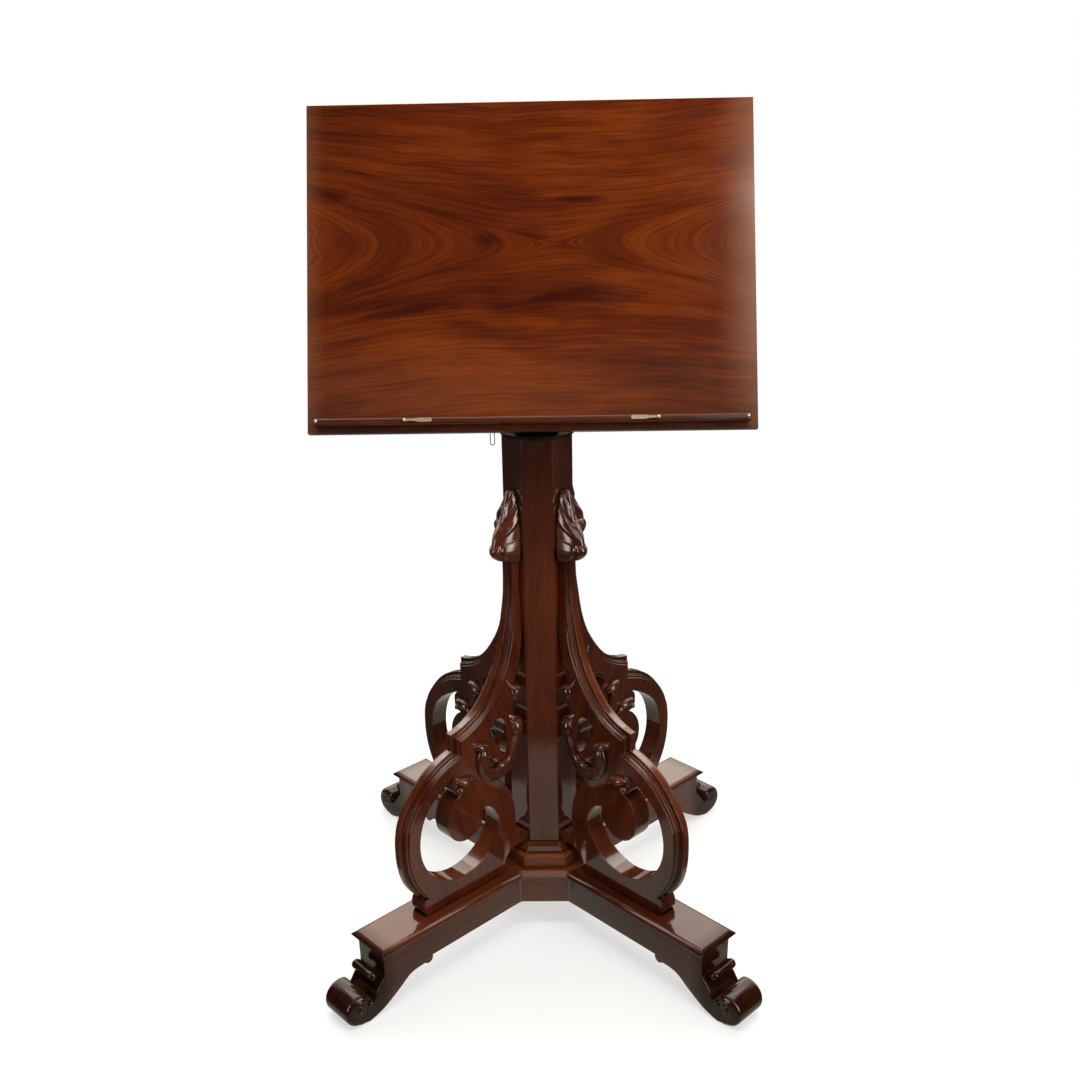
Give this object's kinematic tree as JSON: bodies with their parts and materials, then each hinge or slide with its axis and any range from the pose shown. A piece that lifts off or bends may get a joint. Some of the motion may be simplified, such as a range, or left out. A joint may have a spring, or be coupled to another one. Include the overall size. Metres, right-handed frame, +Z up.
{
  "type": "atlas stand",
  "caption": "Free-standing mahogany reading stand: a tilting, swivelling board with a book ledge and brass page fingers on an octagonal column with scrolled brackets and legs.",
  "frame": {"origin": "on the floor under the middle of the column", "axes": "+Z up, the reader stands at -Y and looks along +Y, +X to the reader's right"},
  "size_m": [0.7424, 0.7424, 1.4533],
  "materials": {
    "mahogany": "red-brown mahogany, French polished",
    "brass": "lightly tarnished brass",
    "iron": "dark, blackened wrought iron"
  },
  "bodies": {
    "base": {"hub_block": "mahogany", "hub_screws": "iron", "column_bolt": "iron", "leg_front_left": "mahogany", "leg_front_right": "mahogany", "leg_back_left": "mahogany", "leg_back_right": "mahogany", "bracket_front_left": "mahogany", "bracket_front_right": "mahogany", "bracket_back_left": "mahogany", "bracket_back_right": "mahogany", "column": "mahogany", "column_plinth": "mahogany", "spindle_socket": "iron", "socket_screws": "iron"},
    "head": {"swivel_plate": "iron", "swivel_spindle": "iron", "swivel_screws": "iron", "pivot_block": "mahogany", "ratchet_quadrant": "brass", "quadrant_screws": "brass", "pivot_washer": "brass", "hinge_rod": "iron", "hinge_rod_nuts": "brass"},
    "board": {"board_panel": "mahogany", "bearer_left": "mahogany", "bearer_right": "mahogany", "bearer_screws": "brass", "ledge": "mahogany", "ledge_screws": "iron", "ledge_pins": "brass", "finger_pivots": "brass", "pawl_spring": "brass"},
    "catch": {"pawl": "brass", "pawl_spindle": "iron", "pawl_crank": "brass"},
    "pull": {"wire_loop": "brass"},
    "finger_left": {"page_finger_left": "brass"},
    "finger_right": {"page_finger_right": "brass"}
  },
  "joints": [
    {"name": "swivel", "type": "hinge", "parent": "base", "child": "head", "pos_m": [0, 0, 0.931], "axis": [0, 0, 1], "continuous": true},
    {"name": "tilt", "type": "hinge", "parent": "head", "child": "board", "pos_m": [0, 0, 0.9851], "axis": [-1, 0, 0], "range_deg": [0, 66]},
    {"name": "catch_lift", "type": "hinge", "parent": "board", "child": "catch", "pos_m": [-0.0387, -0.05074, 0.96663], "axis": [1, 0, 0], "range_deg": [0, 15], "stiffness_Nm_per_rad": 0.05, "springref_deg": -11.46},
    {"name": "pull_swing", "type": "hinge", "parent": "catch", "child": "pull", "pos_m": [-0.0715, -0.06174, 0.95213], "axis": [1, 0, 0], "range_deg": [-35, 70]},
    {"name": "finger_left_turn", "type": "hinge", "parent": "board", "child": "finger_left", "pos_m": [-0.2077, -0.10688, 0.97875], "axis": [0, -0.9311, 0.3649], "range_deg": [0, 100]},
    {"name": "finger_right_turn", "type": "hinge", "parent": "board", "child": "finger_right", "pos_m": [0.1963, -0.10688, 0.97875], "axis": [0, 0.9311, -0.3649], "range_deg": [0, 100]}
  ]
}
